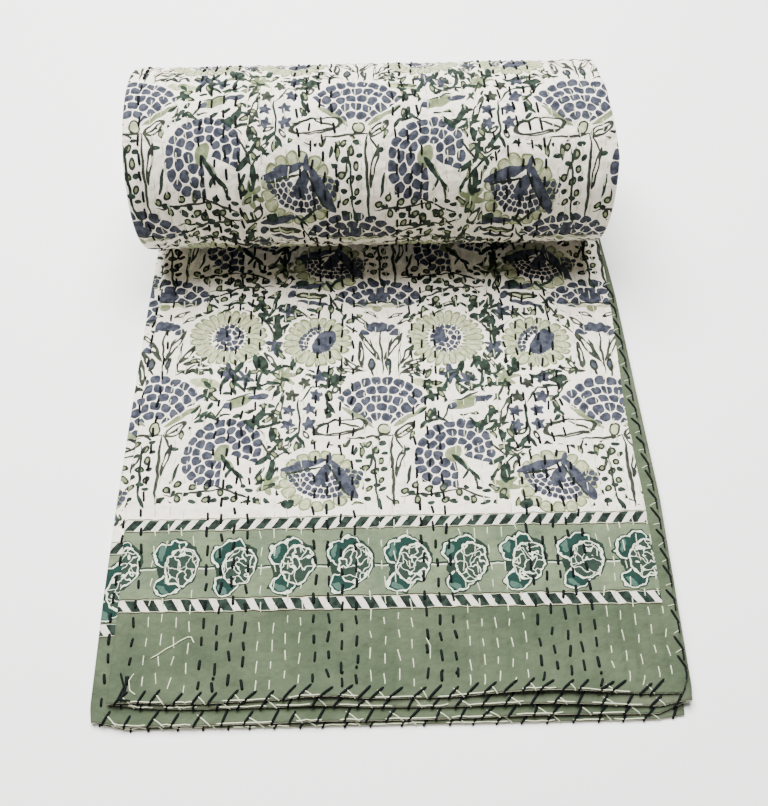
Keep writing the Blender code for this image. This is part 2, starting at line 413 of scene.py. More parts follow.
# A block is cut and set down by hand, so its lines wander.
wander = add("TexNoise", "2D", in_mm, Scale=0.045, Detail=1.5).outputs["Color"]
widest, half_back = (LINE_WANDERS, LINE_WANDERS, 0.0), (-LINE_WANDERS / 2, -LINE_WANDERS / 2, 0.0)
wandered = add("VectorMath", "MULTIPLY_ADD", wander, widest, half_back)
drawn = add("VectorMath", "ADD", in_mm, wandered)
about_fan = add("VectorMath", "SUBTRACT", drawn, FAN_AT)
field = add("Mapping", about_fan, FAN_AT, (0.0, 0.0, PRINT_TURN))
field_y = add("SeparateXYZ", field).outputs["Y"]
cloth_axes = add("SeparateXYZ", cloth_map).outputs
near_end = add("Math", "LESS_THAN", cloth_axes[1], NEAR_END)
too_near = add("Math", "LESS_THAN", field_y, FIRST_WHOLE_MOTIF)
too_near = add("Math", "MULTIPLY", too_near, near_end)
off_field = add("VectorMath", "SCALE", add("CombineXYZ", Z=too_near), Scale=FAR_AWAY)
printed_so_far = {}


def stamp(ink, mask):
    """Adds a mask, 1 where there is ink, to what a block prints."""
    if ink in printed_so_far:
        mask = add("Math", "MAXIMUM", printed_so_far[ink], mask)
    printed_so_far[ink] = mask


def motif_at(x, y, straddles=False):
    """The field's measures, repeated about a motif's middle. A motif's nodes wait for those of the last.

    A motif that straddles two repeats isn't printed where the border would cut it.
    """
    start = field
    if "line" in printed_so_far:
        start = add("VectorMath", "MULTIPLY_ADD", printed_so_far["line"], (0.0, 0.0, 0.0), field)
    high = (x + REPEAT[0] / 2, y + REPEAT[1] / 2, 1.0)
    low = (x - REPEAT[0] / 2, y - REPEAT[1] / 2, -1.0)
    place = add("VectorMath", "WRAP", start, high, low)
    return add("VectorMath", "ADD", place, off_field) if straddles else place


def about(place, x, y, turn, long, wide):
    """A point's place in an oval's own measures, and how far off the middle that is, where 1 is the edge."""
    turned = (0.0, 0.0, math.radians(turn))
    local = add("Mapping", "TEXTURE", place, (x, y, 0.0), turned, (long, wide, 1.0))
    return local, add("VectorMath", "LENGTH", local)


def ovals(place, **chart):
    """Leaves, stems and small petals, each an oval: its middle, turn, and half its length and width.

    A "leaf" is an outlined oval, and a "veined" or "ripe" one is filled with wash or with pale ink too. A
    "clear" one isn't printed: it is ground that the scattered leaves keep off.
    """
    for form, rows in chart.items():
        for x, y, turn, long, wide in rows:
            _, out = about(place, x, y, turn, long, max(wide, FINEST_LINE))
            if form in ("leaf", "veined", "ripe"):
                half = min(0.3, LEAF_RIM / wide)
                stamp("line", add("Math", "COMPARE", out, 1 - half, half))
            if form != "leaf":
                filled = add("Math", "LESS_THAN", out, 1.0)
                stamp({"veined": "wash", "ripe": "pale"}.get(form, form), filled)


def berries(place, ripe, green, spots):
    """The berries of a sprig: ripe ones, each with its turn, and smaller green ones that lie level."""
    for x, y, turn in spots:
        form, size = ("ripe", ripe) if turn else ("green", green)
        ovals(place, **{form: [(x, y, 30 * turn, *size)]})


def petals(place, ink, x, y, turn, inner, height, rows, wide, spread, stretch=(1.0, 1.0), rim_ink=None):
    """Rounded petals in rings round a point, from inner outwards, each ring half a petal on from the last.

    They fill the angle spread to each side of the direction turn, which is measured from straight up.
    """
    local, out = about(place, x, y, turn, *stretch)
    axes = add("SeparateXYZ", local).outputs
    angle = add("Math", "ARCTAN2", axes[0], axes[1])
    ring = add("Math", "MULTIPLY_ADD", out, 1 / height, -inner / height)
    number = add("Math", "FLOOR", ring)
    around = add("Math", "MULTIPLY_ADD", number, height / wide, (inner + height / 2) / wide)
    shift = add("Math", "MULTIPLY", number, 0.5)
    across = add("Math", "MULTIPLY_ADD", angle, around, shift)
    cell = add("VectorMath", "FRACTION", add("CombineXYZ", across, ring))
    cell = add("VectorMath", "MULTIPLY_ADD", cell, (2.0, 2.0, 0.0), (-1.0, -1.0, 0.0))
    cell = add("VectorMath", "ABSOLUTE", cell)
    cell = add("VectorMath", "POWER", cell, (1.4, 1.4, 1.0))
    edge = add("VectorMath", "LENGTH", cell)
    in_rings = add("Math", "COMPARE", number, (rows - 1) / 2, (rows - 1) / 2 + 0.1)
    in_spread = add("Math", "COMPARE", angle, 0.0, math.radians(spread))
    printed_here = add("Math", "MULTIPLY", in_rings, in_spread)
    filled = add("Math", "LESS_THAN", edge, 0.98 if rim_ink else 0.9)
    stamp(ink, add("Math", "MULTIPLY", filled, printed_here))
    if rim_ink:
        rim = add("Math", "COMPARE", edge, 0.84, 0.16)
        stamp(rim_ink, add("Math", "MULTIPLY", rim, printed_here))


def star(place, ink, x, y, turn, size, points, depth=0.28):
    """A small blossom, more pointed where its depth is more."""
    local, out = about(place, x, y, turn, size, size)
    axes = add("SeparateXYZ", local).outputs
    angle = add("Math", "ARCTAN2", axes[0], axes[1])
    lobes = add("Math", "COSINE", add("Math", "MULTIPLY", angle, points))
    reach = add("Math", "MULTIPLY_ADD", lobes, depth, 1 - depth)
    stamp(ink, add("Math", "LESS_THAN", out, reach))


# The fan flower, its calyx, stem and leaves.
here = motif_at(-8, 345)
petals(here, "blue", -7, 306, 0, 14, 12.3, 5, 14.5, 54, (0.90, 1.0))
ovals(
    here,
    clear=[(-8, 346, 0, 56, 44), (10, 262, 92, 44, 24), (-50, 303, 4, 40, 15)],
    pale=[(-35, 325, -38, 24, 3.4), (26, 326, 36, 24, 3.4)],
    veined=[(-4, 308, 90, 8.5, 7.5)],
    line=[
        (6, 255, 92, 46, 2.1), (-50, 304, 10, 25, 0.9), (-44, 313, -20, 14, 0.8), (19, 307, 38, 13, 0.7),
        (-20, 298, 4, 26, 1.7), (-44, 289, 70, 7, 1.7), (12, 290, 122, 9, 0.8),
    ],
    leaf=[(-55, 310, 10, 33, 11), (19, 307, 38, 16, 7), (14, 267, 78, 21, 3.4)],
    green=[(25, 249, 74, 13, 2), (21, 281, 0, 4, 3)],
)
# The flatter fan and the sideways tulip beside it.
here = motif_at(-30, 505, True)
petals(here, "blue", -12, 475, 0, 20, 12.4, 3, 13.5, 68, (1.10, 0.92))
ovals(
    here,
    clear=[(-12, 504, 0, 52, 36), (-100, 503, 0, 32, 21)],
    blue=[(-12, 499, 0, 14, 8.5), (-102, 517, 8, 23, 4.4), (-94, 490, -12, 21, 3.4), (-121, 503, 60, 7, 4.5)],
    pale=[(-14, 482, 90, 6, 6)],
    wash=[(-32, 487, -8, 20, 3.6), (10, 487, 8, 20, 3.6)],
    line=[(-12, 491, 0, 40, 0.7), (-94, 503, -6, 17, 0.7), (-66, 486, -62, 22, 1.1)],
    veined=[(-98, 502, -4, 21, 5.4)],
    green=[(-74, 516, -52, 11, 2.2), (-66, 523, 40, 12, 2.4)],
    leaf=[(-128, 524, 62, 12, 5)],
)
# The ring of petals with its hooked stem, and the berry sprig below it.
here = motif_at(76, 262)
petals(here, "blue", 76, 277, 38, 11, 11.2, 3, 12.0, 150, (1.10, 0.94))
ovals(
    here,
    clear=[(76, 277, 0, 52, 46), (66, 226, 0, 54, 16)],
    pale=[(75, 276, 60, 12, 8), (86, 262, -52, 9, 3)],
    green=[(82, 264, -52, 13, 3), (96, 250, -46, 11, 2.2), (87, 251, 64, 8, 2)],
    line=[(100, 240, -74, 9, 1), (48, 226, 8, 34, 0.9), (92, 227, -20, 24, 1)],
)
berries(here, (5.2, 4.2), (4, 2.8), (
    (20, 229, 1), (31, 236, 2), (33, 218, 3), (47, 233, 1), (48, 215, 0), (63, 234, 2), (64, 218, 1),
    (79, 226, 3), (88, 233, 0), (95, 219, 2), (104, 233, 0), (110, 215, 0), (41, 224, 0), (72, 216, 0),
    (27, 226, 0), (56, 224, 0), (86, 219, 0), (111, 229, 0),
))
# The shell flower: scalloped pale petals round a blue arched band.
here = motif_at(-76, 245)
petals(here, "wash", -76, 241, 0, 26, 15.5, 1, 12.5, 180, (1.08, 0.95), "pale")
ovals(
    here,
    clear=[(-76, 242, 0, 48, 46)],
    blue=[
        (-96, 260, 14, 25, 4.6), (-49, 243, -58, 29, 6.4), (-66, 268, 74, 10, 3.4), (-73, 248, 66, 15, 7.6),
        (-84, 266, 8, 22, 2.2),
    ],
    line=[(-56, 243, -56, 26, 0.7), (-94, 254, 12, 20, 0.6)],
)
petals(here, "blue", -70, 262, 178, 17, 6.6, 4, 6.6, 78, (1.05, 1.0))
# The two daisies.
here = motif_at(-84, 431)
petals(here, "wash", -86, 431, 0, 16, 24, 1, 8.6, 180, (1.06, 0.95), "pale")
ovals(here, clear=[(-86, 431, 0, 45, 41)], blue=[(-78, 431, 58, 20, 12.5)])
petals(here, "blue", -82, 428, 58, 15, 5.6, 2, 5.8, 60)
here = motif_at(69, 437)
petals(here, "wash", 69, 437, 0, 20, 25, 1, 7.6, 180, (1.06, 0.92), "pale")
petals(here, "blue", 69, 437, -62, 6.4, 6.8, 2, 7.0, 170)
ovals(here, clear=[(69, 437, 0, 51, 44)], blue=[(61, 441, 78, 12, 7), (66, 438, -40, 9, 6)])
# The lotus, its upright leaves and the leafy sprigs to each side.
here = motif_at(-6, 430)
petals(here, "blue", -11, 436, 0, 12, 14, 1, 8.2, 76, (1.10, 1.0))
ovals(
    here,
    clear=[(-8, 430, 90, 46, 40)],
    blue=[(-11, 453, 0, 15, 6.5), (-20, 397, 96, 8, 3.4), (0, 398, 86, 8, 3.4)],
    line=[
        (-8, 418, 92, 34, 1), (-16, 418, 112, 18, 0.9), (0, 419, 74, 18, 0.9), (-46, 452, -36, 10, 1),
        (-18, 386, 110, 5, 0.9), (1, 387, 86, 5, 0.9), (22, 390, 30, 14, 0.9),
    ],
    leaf=[
        (-24, 424, 122, 24, 4), (6, 425, 62, 24, 4), (-33, 462, -38, 12, 3.2), (-22, 472, -28, 10, 2.4),
        (8, 472, 24, 11, 2.4), (21, 465, 32, 14, 3), (-33, 412, 96, 20, 4), (-44, 398, 128, 13, 3.4),
        (-46, 390, -10, 18, 3.4), (13, 408, 88, 22, 1.6), (22, 412, 62, 16, 3.6), (32, 402, 22, 15, 3.8),
        (34, 388, 6, 18, 3.2),
    ],
    veined=[(-20, 397, 96, 9.5, 4.4), (0, 398, 86, 9.5, 4.4)],
    green=[(-35, 416, 96, 13, 1.6)],
    wash=[(48, 370, -14, 20, 6)],
    pale=[(48, 372, -24, 7, 4)],
)
# The vine with its small blossoms.
here = motif_at(-96, 345)
ovals(
    here,
    clear=[(-99, 336, 92, 46, 25)],
    green=[
        (-103, 322, 94, 27, 1.2), (-95, 356, 54, 14, 1.1), (-75, 367, 10, 18, 1.1), (-107, 296, 50, 10, 2.6),
        (-99, 292, -60, 9, 2.6), (-62, 377, 14, 12, 5), (-62, 372, 80, 8, 4), (-67, 337, -60, 11, 2.6),
        (-70, 317, 18, 14, 1.2),
    ],
    leaf=[(-62, 361, 60, 7, 3.4), (-110, 306, 30, 7, 3.4), (-94, 301, 120, 7, 3.4)],
)
for x, y in (
    (-113, 353), (-84, 353), (-115, 333), (-91, 334), (-116, 314), (-91, 315), (-99, 371), (-81, 381),
):
    star(here, "line" if y > 352 and x < -90 else "blue", x, y, x * 7, 8.6 if y < 380 else 10.0, 5, 0.2)
# The pale green bud with its blue tip, and the plant under it.
here = motif_at(105, 340)
ovals(
    here,
    clear=[(94, 344, 20, 34, 13)],
    pale=[(90, 344, 24, 19, 7)],
    wash=[(88, 345, 24, 14, 3.6)],
    blue=[(112, 351, 12, 12, 4.4), (76, 339, 30, 6, 4.5)],
    line=[(68, 331, 66, 10, 1.1), (90, 352, 22, 17, 0.8), (133, 318, 64, 12, 1.2)],
    green=[
        (60, 324, -24, 12, 2.4), (50, 326, 60, 8, 2.6), (40, 333, 40, 8, 2.2), (46, 318, 10, 7, 2.4),
        (114, 322, 62, 17, 4.6), (126, 312, 22, 14, 2.6), (104, 313, -38, 9, 3.6), (131, 299, 96, 10, 3.4),
        (-139, 322, 96, 22, 1.3), (-146, 346, 110, 12, 3.2), (-130, 316, -10, 12, 2),
    ],
    leaf=[(136, 334, 72, 20, 4.6), (-134, 352, 80, 22, 4.5)],
)
star(here, "green", 51, 354, 10, 9, 4)
# Stars and leaves between the flowers.
here = motif_at(100, 390)
star(here, "blue", 76, 384, 15, 15, 5)
star(here, "blue", 94, 378, 40, 12, 5)
star(here, "blue", 128, 420, 30, 10.5, 5)
ovals(
    here,
    green=[
        (86, 393, 70, 9, 3.8), (88, 366, -42, 11, 2.4), (68, 370, 74, 11, 2.4), (112, 396, -58, 18, 4),
        (104, 402, -76, 11, 2.4), (126, 460, 72, 9, 4.6), (126, 468, 64, 6, 3), (116, 368, 20, 14, 1.4),
        (111, 377, 74, 11, 2.6), (128, 371, 6, 10, 3), (103, 365, 20, 8, 2.8),
    ],
    leaf=[(122, 404, -52, 15, 3.4)],
    line=[(122, 448, -58, 17, 1.6)],
)
here = motif_at(-130, 400)
star(here, "blue", -138, 427, 0, 11, 5)
star(here, "pale", -124, 381, 20, 17, 7)
star(here, "blue", -124, 478, 20, 13, 5)
ovals(
    here,
    green=[
        (-136, 444, 76, 13, 4.2), (-128, 452, 44, 9, 2.6), (-114, 399, 84, 11, 4.4),
        (-150, 401, -58, 12, 4.4), (-144, 480, 66, 13, 2.6), (-146, 466, 40, 9, 3.2),
        (-136, 388, 30, 12, 1.8),
    ],
    line=[(-146, 460, -24, 14, 1.4), (-106, 474, -36, 14, 1.4), (-130, 364, 70, 18, 1.1)],
    wash=[(-124, 381, 20, 5, 5)],
)
# The leafy sprigs over the daisy, and the low ones by the stem.
here = motif_at(85, 505, True)
ovals(
    here,
    clear=[(78, 512, 0, 44, 20)],
    green=[
        (72, 488, 10, 16, 2.2), (104, 486, 70, 11, 3.4), (96, 488, -30, 9, 3), (106, 490, -60, 8, 3),
        (108, 471, 10, 7, 5), (124, 494, 70, 12, 3.2), (130, 484, 30, 8, 2.6), (62, 478, 30, 10, 0.9),
    ],
    leaf=[(74, 491, 14, 11, 2.6)],
    line=[(78, 513, 6, 42, 0.9), (60, 506, 24, 18, 0.9), (98, 520, -36, 15, 0.9)],
)
berries(here, (5.6, 4.4), (4.8, 3.2), (
    (44, 500, 0), (50, 514, 2), (58, 497, 1), (60, 522, 0), (71, 504, 0), (72, 521, 3), (82, 498, 2),
    (84, 510, 0), (88, 526, 1), (97, 503, 0), (98, 514, 3), (108, 508, 0), (110, 524, 0), (104, 498, 1),
    (48, 526, 0), (64, 512, 0), (78, 516, 0),
))
here = motif_at(-16, 255)
ovals(
    here,
    clear=[(-14, 250, 92, 46, 14)],
    green=[(-13, 246, 96, 40, 1.1), (-8, 214, 110, 9, 2.6)],
    line=[(-17, 270, 70, 18, 0.8)],
)
berries(here, (5.2, 4), (4.4, 2.8), (
    (-22, 287, 1), (-12, 280, 2), (-6, 289, 0), (-3, 276, 0), (-20, 272, 0), (-8, 266, 3), (-24, 258, 2),
    (-4, 256, 0), (-14, 254, 1), (-22, 244, 0), (-6, 243, 2), (-20, 232, 1), (-4, 230, 0), (-22, 218, 0),
    (-11, 236, 0),
))
here = motif_at(-130, 265)
star(here, "pale", -133, 237, 10, 16, 6)
ovals(
    here,
    wash=[(-133, 240, 0, 8, 5)],
    green=[
        (-131, 254, 80, 14, 5), (-140, 268, 34, 12, 3.2), (-122, 272, 40, 13, 1.4), (-110, 213, 8, 8, 5.5),
        (-128, 283, 70, 8, 2.6), (-124, 293, 20, 6, 2.8), (-144, 250, 60, 10, 2.2),
    ],
    line=[(-138, 282, -50, 14, 1.2)],
    leaf=[(-116, 284, 30, 8, 3.4)],
)

# Small leaves and stems, at all angles, that fill what the chart leaves open, but for a margin by the border.
margin = add("Math", "LESS_THAN", field_y, FIELD_STARTS)
stamp("clear", add("Math", "MULTIPLY", margin, near_end))
for spacing, long, wide, inked in (
    (15.5, 6.0, 2.4, {"green": (0.5, 0.5)}),
    (19.0, 7.5, 3.4, {"line": (0.78, 0.24), "pale": (0.45, 0.45)}),
):
    scatter = add("TexVoronoi", "2D", drawn, Scale=1 / spacing, Randomness=0.8)
    from_middle = add("VectorMath", "SUBTRACT", drawn, scatter.outputs["Position"])
    chance = add("SeparateXYZ", scatter.outputs["Color"])
    turned = add("Math", "MULTIPLY", chance, TURN / 2)
    leaf = add("VectorRotate", "Z_AXIS", from_middle, Angle=turned)
    _, out = about(leaf, 0, 0, 0, long, wide)
    for ink, (ring, half) in inked.items():
        filled = add("Math", "COMPARE", out, ring, half)
        stamp(ink, add("Math", "SUBTRACT", filled, printed_so_far["clear"], use_clamp=True))

# The inks on the cloth. They lie unevenly: thinner on the threads' tops and darker where the block pooled.
blotch = add("TexNoise", "2D", in_mm, Scale=0.13, Detail=3.0)
uneven = add("MapRange", "SMOOTHSTEP", blotch, 0.32, 0.68)
colour = add("Mix", "RGBA", uneven, "#F1E9D9", "#E7DECC")
for ink, light, dark, strength in (
    ("wash", "#A9AD88", "#8A9068", 0.92),
    ("pale", "#727C58", "#5A6442", 0.95),
    ("blue", "#434650", "#2A2D36", 1.0),
    ("green", "#27362D", "#101B16", 0.995),
    ("line", "#2C3428", "#141B16", 0.985),
):
    tone = add("Mix", "RGBA", uneven, light, dark)
    thick = add("Math", "MULTIPLY", printed_so_far[ink], strength)
    colour = add("Mix", "RGBA", thick, colour, tone)

# The border: plain sage to the hem, two bands of slanting rope, and a row of roses between them on a line.
# It is printed along both ends, and its sizes are in millimetres from the hem.
straighter = add("VectorMath", "MULTIPLY_ADD", wandered, (0.4, 0.4, 0.0), in_mm)
border_x, near_y, _ = add("SeparateXYZ", straighter).outputs
near_y = add("Math", "MULTIPLY", near_end, near_y)
far_end = add("Math", "SUBTRACT", 1.0, near_end)
far_y = add("Math", "MULTIPLY_ADD", cloth_axes[1], -1000.0, QUILT_LENGTH * 1000)
border_y = add("Math", "MULTIPLY_ADD", far_end, far_y, near_y)
clouds = add("TexNoise", "2D", in_mm, Scale=0.018, Detail=4.0)
cloudy = add("MapRange", "SMOOTHSTEP", clouds, 0.3, 0.7)
sage, lighter_sage, backing, undyed = (
    add("Mix", "RGBA", cloudy, light, dark)
    for light, dark in (
        ("#4B5541", "#414B39"), ("#657158", "#56624D"), ("#565E4A", "#474F3E"), ("#D8D0BE", "#B9B19E"),
    )
)


def banded(border, middle_y, half, tint):
    """The border with a band of one tint along it, by its middle and half its width."""
    band = add("Math", "COMPARE", border_y, middle_y, half)
    return add("Mix", "RGBA", band, border, tint)


border = banded(sage, 145.5, 45.0, lighter_sage)
border = banded(border, 142.4, 1.0, "#1F2C24")
border = banded(border, 140.6, 0.7, "#C2C6B0")
# The roses: ringed petals with crumpled edges, one rose every 61.5 mm.
crinkled = add("TexNoise", "2D", in_mm, Scale=0.11, Detail=1.0).outputs["Color"]
rose_x = add("Math", "WRAP", border_x, -14.25, -75.75)
rose_place = add("CombineXYZ", rose_x, border_y)
rose_place = add("VectorMath", "MULTIPLY_ADD", crinkled, widest, rose_place)
rose_place = add("VectorMath", "ADD", rose_place, half_back)
for tint, rows in (
    ("#1F2C24", [
        (-41.5, 144, 70, 27.5, 22.5), (-57.2, 156, 78, 15.0, 13.6), (-44, 166.4, 0, 11.8, 9.9),
        (-52, 121.6, 20, 15.9, 12.9),
    ]),
    ("#CDD1BE", [(-57, 156, 78, 13.6, 12.2), (-44, 166, 0, 10.5, 8.6), (-52, 122, 20, 14.6, 11.6)]),
    ("#17302A", [(-56.2, 156, 78, 12.0, 10.4), (-43.7, 165.7, 0, 8.9, 6.9), (-51.5, 122, 20, 12.9, 9.8)]),
    ("#40584E", [(-60.5, 158, 80, 7.5, 3.2), (-56, 117, -30, 7, 3.0)]),
    ("#1F2C24", [(-38.5, 143, 78, 23.5, 18.6)]),
    ("#CDD1BE", [(-38.5, 143, 78, 22.4, 17.4)]),
):
    for row in rows:
        _, out = about(rose_place, *row)
        petal = add("Math", "LESS_THAN", out, 1.0)
        border = add("Mix", "RGBA", petal, border, tint)
# A rose's heart is dark, with pale creases between its folded petals.
folds = add("TexNoise", "2D", drawn, Scale=0.085, Detail=1.0).outputs["Color"]
folded = add("VectorMath", "MULTIPLY_ADD", folds, (20.0, 20.0, 0.0), drawn)
crumple = add("TexVoronoi", "2D", folded, Scale=0.092, feature="DISTANCE_TO_EDGE")
_, out = about(rose_place, -38.5, 143, 78, 20.6, 15.7)
heart = add("Math", "LESS_THAN", out, 1.0)
crease = add("Math", "GREATER_THAN", crumple, 0.062)
heart = add("Math", "MULTIPLY", heart, crease)
border = add("Mix", "RGBA", heart, border, "#26332B")
# The ropes: strands of dark and white that slant between two lines.
for middle_y, pitch, slant in ((100.0, 19.0, 0.6), (191.5, 17.6, -0.75)):
    strand = add("Math", "MULTIPLY", border_x, 1 / pitch)
    strand = add("Math", "FRACT", add("Math", "MULTIPLY_ADD", border_y, slant / pitch, strand))
    white = add("Math", "COMPARE", strand, 0.5, 0.21)
    rope = add("Mix", "RGBA", uneven, "#26332B", "#121A16")
    rope = add("Mix", "RGBA", white, rope, "#CFCBBE")
    for half, tint in ((8.1, "#2A2419"), (6.9, "#A5A890"), (6.2, rope)):
        border = banded(border, middle_y, half, tint)
in_border = add("Math", "LESS_THAN", border_y, BORDER_ENDS)

# Sage shows beside the field too, in a strip that narrows away from the hem. The reverse is plain sage, and
# a sliver of the undyed cloth between shows along the lower edge of a hem.
STRIP_WIDTH = 0.0130
STRIP_ENDS = 0.60
beside = add("Math", "SUBTRACT", QUILT_WIDTH, cloth_axes[0])
beside = add("Math", "MINIMUM", cloth_axes[0], beside)
strip = add("MapRange", cloth_axes[1], NEAR_END, STRIP_ENDS, STRIP_WIDTH, 0.0)
in_strip = add("Math", "LESS_THAN", beside, strip)
on_reverse = add("Math", "LESS_THAN", add("Attribute", "printed_side").outputs["Fac"], 0.45)
on_sliver = add("Math", "GREATER_THAN", add("Attribute", "pale_edge").outputs["Fac"], 0.5)
for there, cloth in ((in_border, border), (in_strip, sage), (on_reverse, backing), (on_sliver, undyed)):
    colour = add("Mix", "RGBA", there, colour, cloth)

# The weave: about 20 threads to the centimetre, drawn here at 11 because finer ones would not show.
THREADS_TO_METRE = 1100
threads = add("Mapping", cloth_map, Scale=(TURN * THREADS_TO_METRE, TURN * THREADS_TO_METRE, 1.0))
warp, weft, _ = add("SeparateXYZ", threads).outputs
weave = add("Math", "MULTIPLY", add("Math", "SINE", warp), add("Math", "SINE", weft))
slubby = add("Math", "ADD", *(
    add("TexNoise", "2D", add("Mapping", cloth_map, Scale=stretch), Scale=1.0, Detail=3.0)
    for stretch in ((900.0, 160.0, 1.0), (160.0, 900.0, 1.0))
))
tone = add("Math", "MULTIPLY_ADD", slubby, 0.22, 0.78)
shade = add("VectorMath", "SCALE", colour, Scale=tone)
relief = add("Math", "MULTIPLY_ADD", weave, 0.25, slubby)
creases = add("TexNoise", "2D", in_mm, Scale=0.055, Detail=2.5)
soft = add("Bump", Height=creases, Strength=1.0, Distance=0.0042)
bump = add("Bump", Height=relief, Strength=0.5, Distance=0.00025, Normal=soft)

tree.links.new(shade.outputs["Vector"], shader.inputs["Base Color"])
tree.links.new(bump.outputs["Normal"], shader.inputs["Normal"])
quilt_mesh.materials.append(cotton)
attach(quilt, "root")
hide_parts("quilt")

# ----------------------------------------------------------------------------------------------------
# The running stitch: thick dark cotton and finer pale cotton, worked by hand through all the cloths in
# straight rows. Each stitch dips into the cloth at both ends and lies proud between them.

THREAD_SIDES = 6
TWIST_PITCH = 0.0016
DARK_THICKNESS = 0.0028
PALE_THICKNESS = 0.00125
# A stitch from end to end: shares of its length along it, and of half its thickness above the cloth.
STITCH_PROFILE = np.array(((-0.5, -0.9), (-0.40, 0.45), (-0.2, 0.9), (0.2, 0.95), (0.40, 0.45), (0.5, -0.9)))


def on_cloth(points, layer, share, along):
    """The point of a face of the sheet that lies at a share of a layer's width and a distance along it."""
    mine = np.flatnonzero((col_layer == layer) & (col_side == 0))
    mine = mine[np.argsort(col_share[mine])]
    column = np.interp(share, col_share[mine], mine.astype(float))
    row = np.interp(along, row_along, np.arange(len(row_along)))
    c, r = np.minimum(column.astype(int), last_column - 1), np.minimum(row.astype(int), last_row - 1)
    fc, fr = (column - c)[..., None], (row - r)[..., None]
    near = points[c, r] * (1 - fc) + points[c + 1, r] * fc
    far = points[c, r + 1] * (1 - fc) + points[c + 1, r + 1] * fc
    return near * (1 - fr) + far * fr


def spun(paths, up, thickness):
    """Threads as tubes along paths, an array of points by thread, that thin out at both ends."""
    count, stops = paths.shape[:2]
    ahead = tangents(paths, 1)
    aside = unit(np.cross(ahead, up))
    above = np.cross(aside, ahead)
    taper = np.ones(stops)
    taper[0] = taper[-1] = 0.45
    turns = TURN * np.arange(THREAD_SIDES) / THREAD_SIDES
    rim = np.cos(turns)[:, None] * aside[:, :, None, :] + np.sin(turns)[:, None] * above[:, :, None, :]
    radii = np.reshape(thickness, (-1, 1, 1, 1)) / 2 * taper[None, :, None, None]
    points = (paths[:, :, None, :] + rim * radii).reshape(-1, 3)
    numbers = np.arange(len(points)).reshape(count, stops, THREAD_SIDES)
    beside = np.roll(numbers, -1, axis=2)
    quads = np.stack([numbers[:, :-1], beside[:, :-1], beside[:, 1:], numbers[:, 1:]], axis=3).reshape(-1, 4)
    ends = [end.tolist() for rims in numbers for end in (rims[0, ::-1], rims[-1])]
    steps = np.linalg.norm(np.diff(paths, axis=1), axis=2)
    measure = np.concatenate([np.zeros((count, 1)), steps.cumsum(1)], 1)
    return points, quads.tolist() + ends, np.repeat(measure.ravel(), THREAD_SIDES)


def thread_mesh(name, parts, material):
    """One mesh of many threads, with each point's distance along its thread as an attribute."""
    points, faces, measures = zip(*parts)
    starts = np.cumsum([0, *map(len, points)]).tolist()
    faces = [[n + start for n in face] for start, some in zip(starts, faces) for face in some]
    mesh = bpy.data.meshes.new(name)
    mesh.from_pydata((np.concatenate(points) - ORIGIN).tolist(), [], faces)
    mesh.attributes.new("thread_length", "FLOAT", "POINT").data.foreach_set("value", np.concatenate(measures))
    mesh.polygons.foreach_set("use_smooth", [True] * len(mesh.polygons))
    mesh.materials.append(material)
    made = put(name, mesh)
    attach(made, "root")


# Loosely twisted cotton embroidery thread: matt, with the twist showing as fine ribs.
thread_finish = {}
for thread, name, colour in (("d", "dark_cotton_thread", "#080D0F"), ("p", "pale_cotton_thread", "#C6CAAD")):
    thread_finish[thread], tree, shader = finish(
        name, Roughness=0.85, Specular_IOR_Level=0.15, Base_Color=linear(colour)
    )
    length = add("Attribute", "thread_length").outputs["Fac"]
    ribs = add("Math", "SINE", add("Math", "MULTIPLY", length, TURN / TWIST_PITCH))
    bump = add("Bump", Height=ribs, Strength=0.35, Distance=0.0003)
    tree.links.new(bump.outputs["Normal"], shader.inputs["Normal"])

stitch_parts = {"d": [], "p": []}
for name, layer, _, _ in SHOWN:
    for thread, thickness in (("d", DARK_THICKNESS), ("p", PALE_THICKNESS)):
        rows_here = [row for row, letter in enumerate(ROW_GROUPS, 1) if letter == thread]
        mine = stitches[name][np.isin(stitches[name][:, 0], rows_here)]
        if name == "low_strip" and thread == "d":
            mine = stitches[name]
        elif name == "low_strip":
            continue
        share = mine[:, 0] / STITCH_ROWS + rng.normal(0, 0.0012, len(mine))
        slant = rng.normal(0, 0.0006, len(mine))[:, None] * STITCH_PROFILE[:, 0] * 2
        along = mine[:, 1:2] + STITCH_PROFILE[:, 0] * mine[:, 2:3]
        share = share[:, None] + slant / LAYER_WIDTH
        up = unit(on_cloth(outward, layer, share, along))
        above = (STITCH_PROFILE[:, 1] * thickness / 2)[:, None]
        path = on_cloth(printed, layer, share, along) + up * above
        path[..., 2] = np.maximum(path[..., 2], thickness / 2)
        thick = thickness * rng.uniform(0.85, 1.12, len(mine))
        stitch_parts[thread].append(spun(path, up, thick))
thread_mesh("dark_running_stitch", stitch_parts["d"], thread_finish["d"])
thread_mesh("pale_running_stitch", stitch_parts["p"], thread_finish["p"])

# ----------------------------------------------------------------------------------------------------
# The whipstitch over the hems, in the same two threads: slanting dark stitches that wrap round each edge,
# crossed by finer pale ones. The pale thread also runs along the edges, and a few of its ends were left long.

# How thick the threads are on the front hems and on the side one, and where they are left long or knotted.
HEM_DARK = 0.0025
HEM_PALE = 0.0012
SIDE_DARK = 0.0024
SIDE_PALE = 0.0009
LONG_END = 0.0021
TRAIL = 0.0019
KNOT = 0.0031
hem_parts = {"d": [], "p": []}


